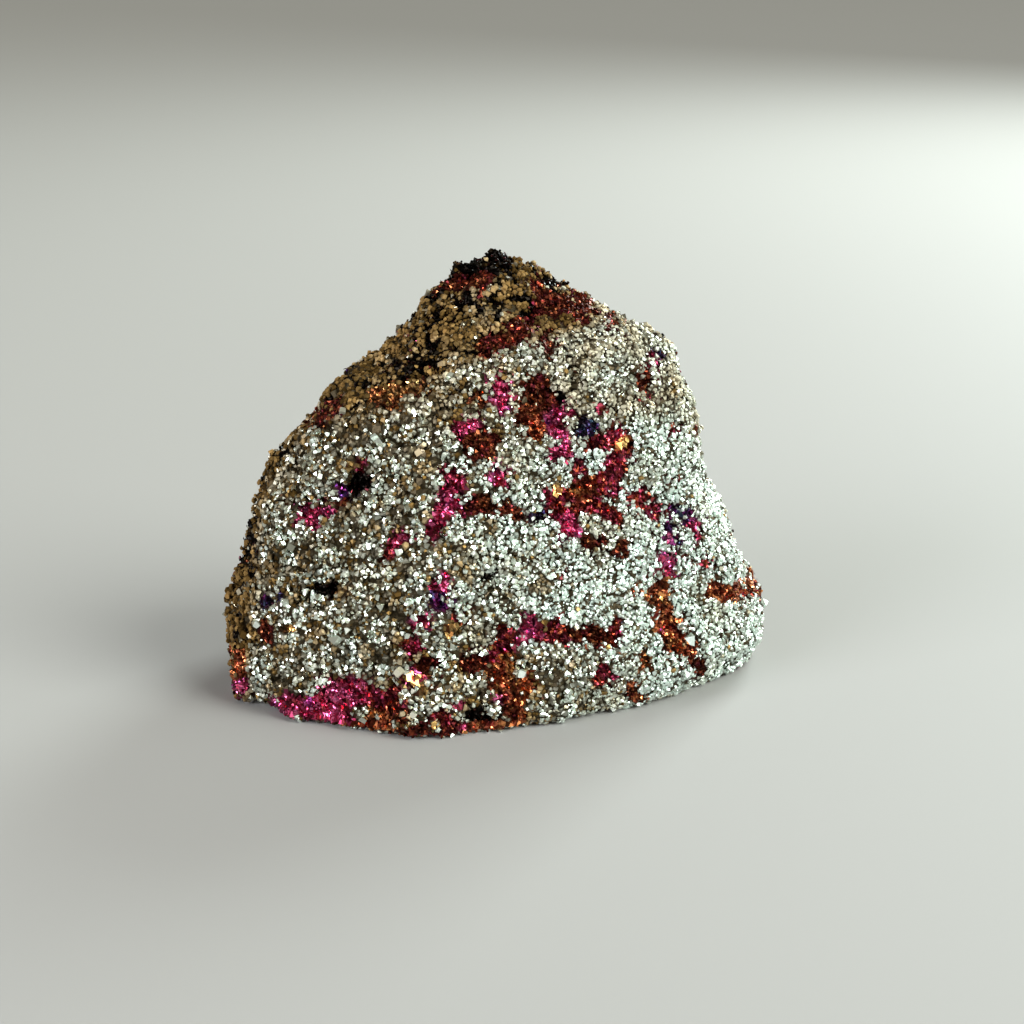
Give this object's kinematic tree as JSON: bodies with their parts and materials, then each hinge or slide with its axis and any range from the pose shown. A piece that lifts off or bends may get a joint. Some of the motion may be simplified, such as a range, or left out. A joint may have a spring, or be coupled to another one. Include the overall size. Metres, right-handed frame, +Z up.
{
  "type": "peacock ore specimen",
  "caption": "Broken hand specimen of sulphide ore: one peaked lump under a granular metallic crystal crust with iridescent tarnished patches, resting on its flat underside.",
  "frame": {"origin": "middle of the underside of the bounding box, in the plane that the lump rests on", "axes": "+X along the lump's long side, to the right of someone who looks at its front, +Y to its back, +Z up through its peak"},
  "size_m": [0.0712, 0.0502, 0.0546],
  "materials": {
    "pyrite_crust": "satin",
    "tarnished_chalcopyrite": "gloss"
  },
  "bodies": {
    "root": {"ore_lump": "pyrite_crust"}
  },
  "joints": []
}
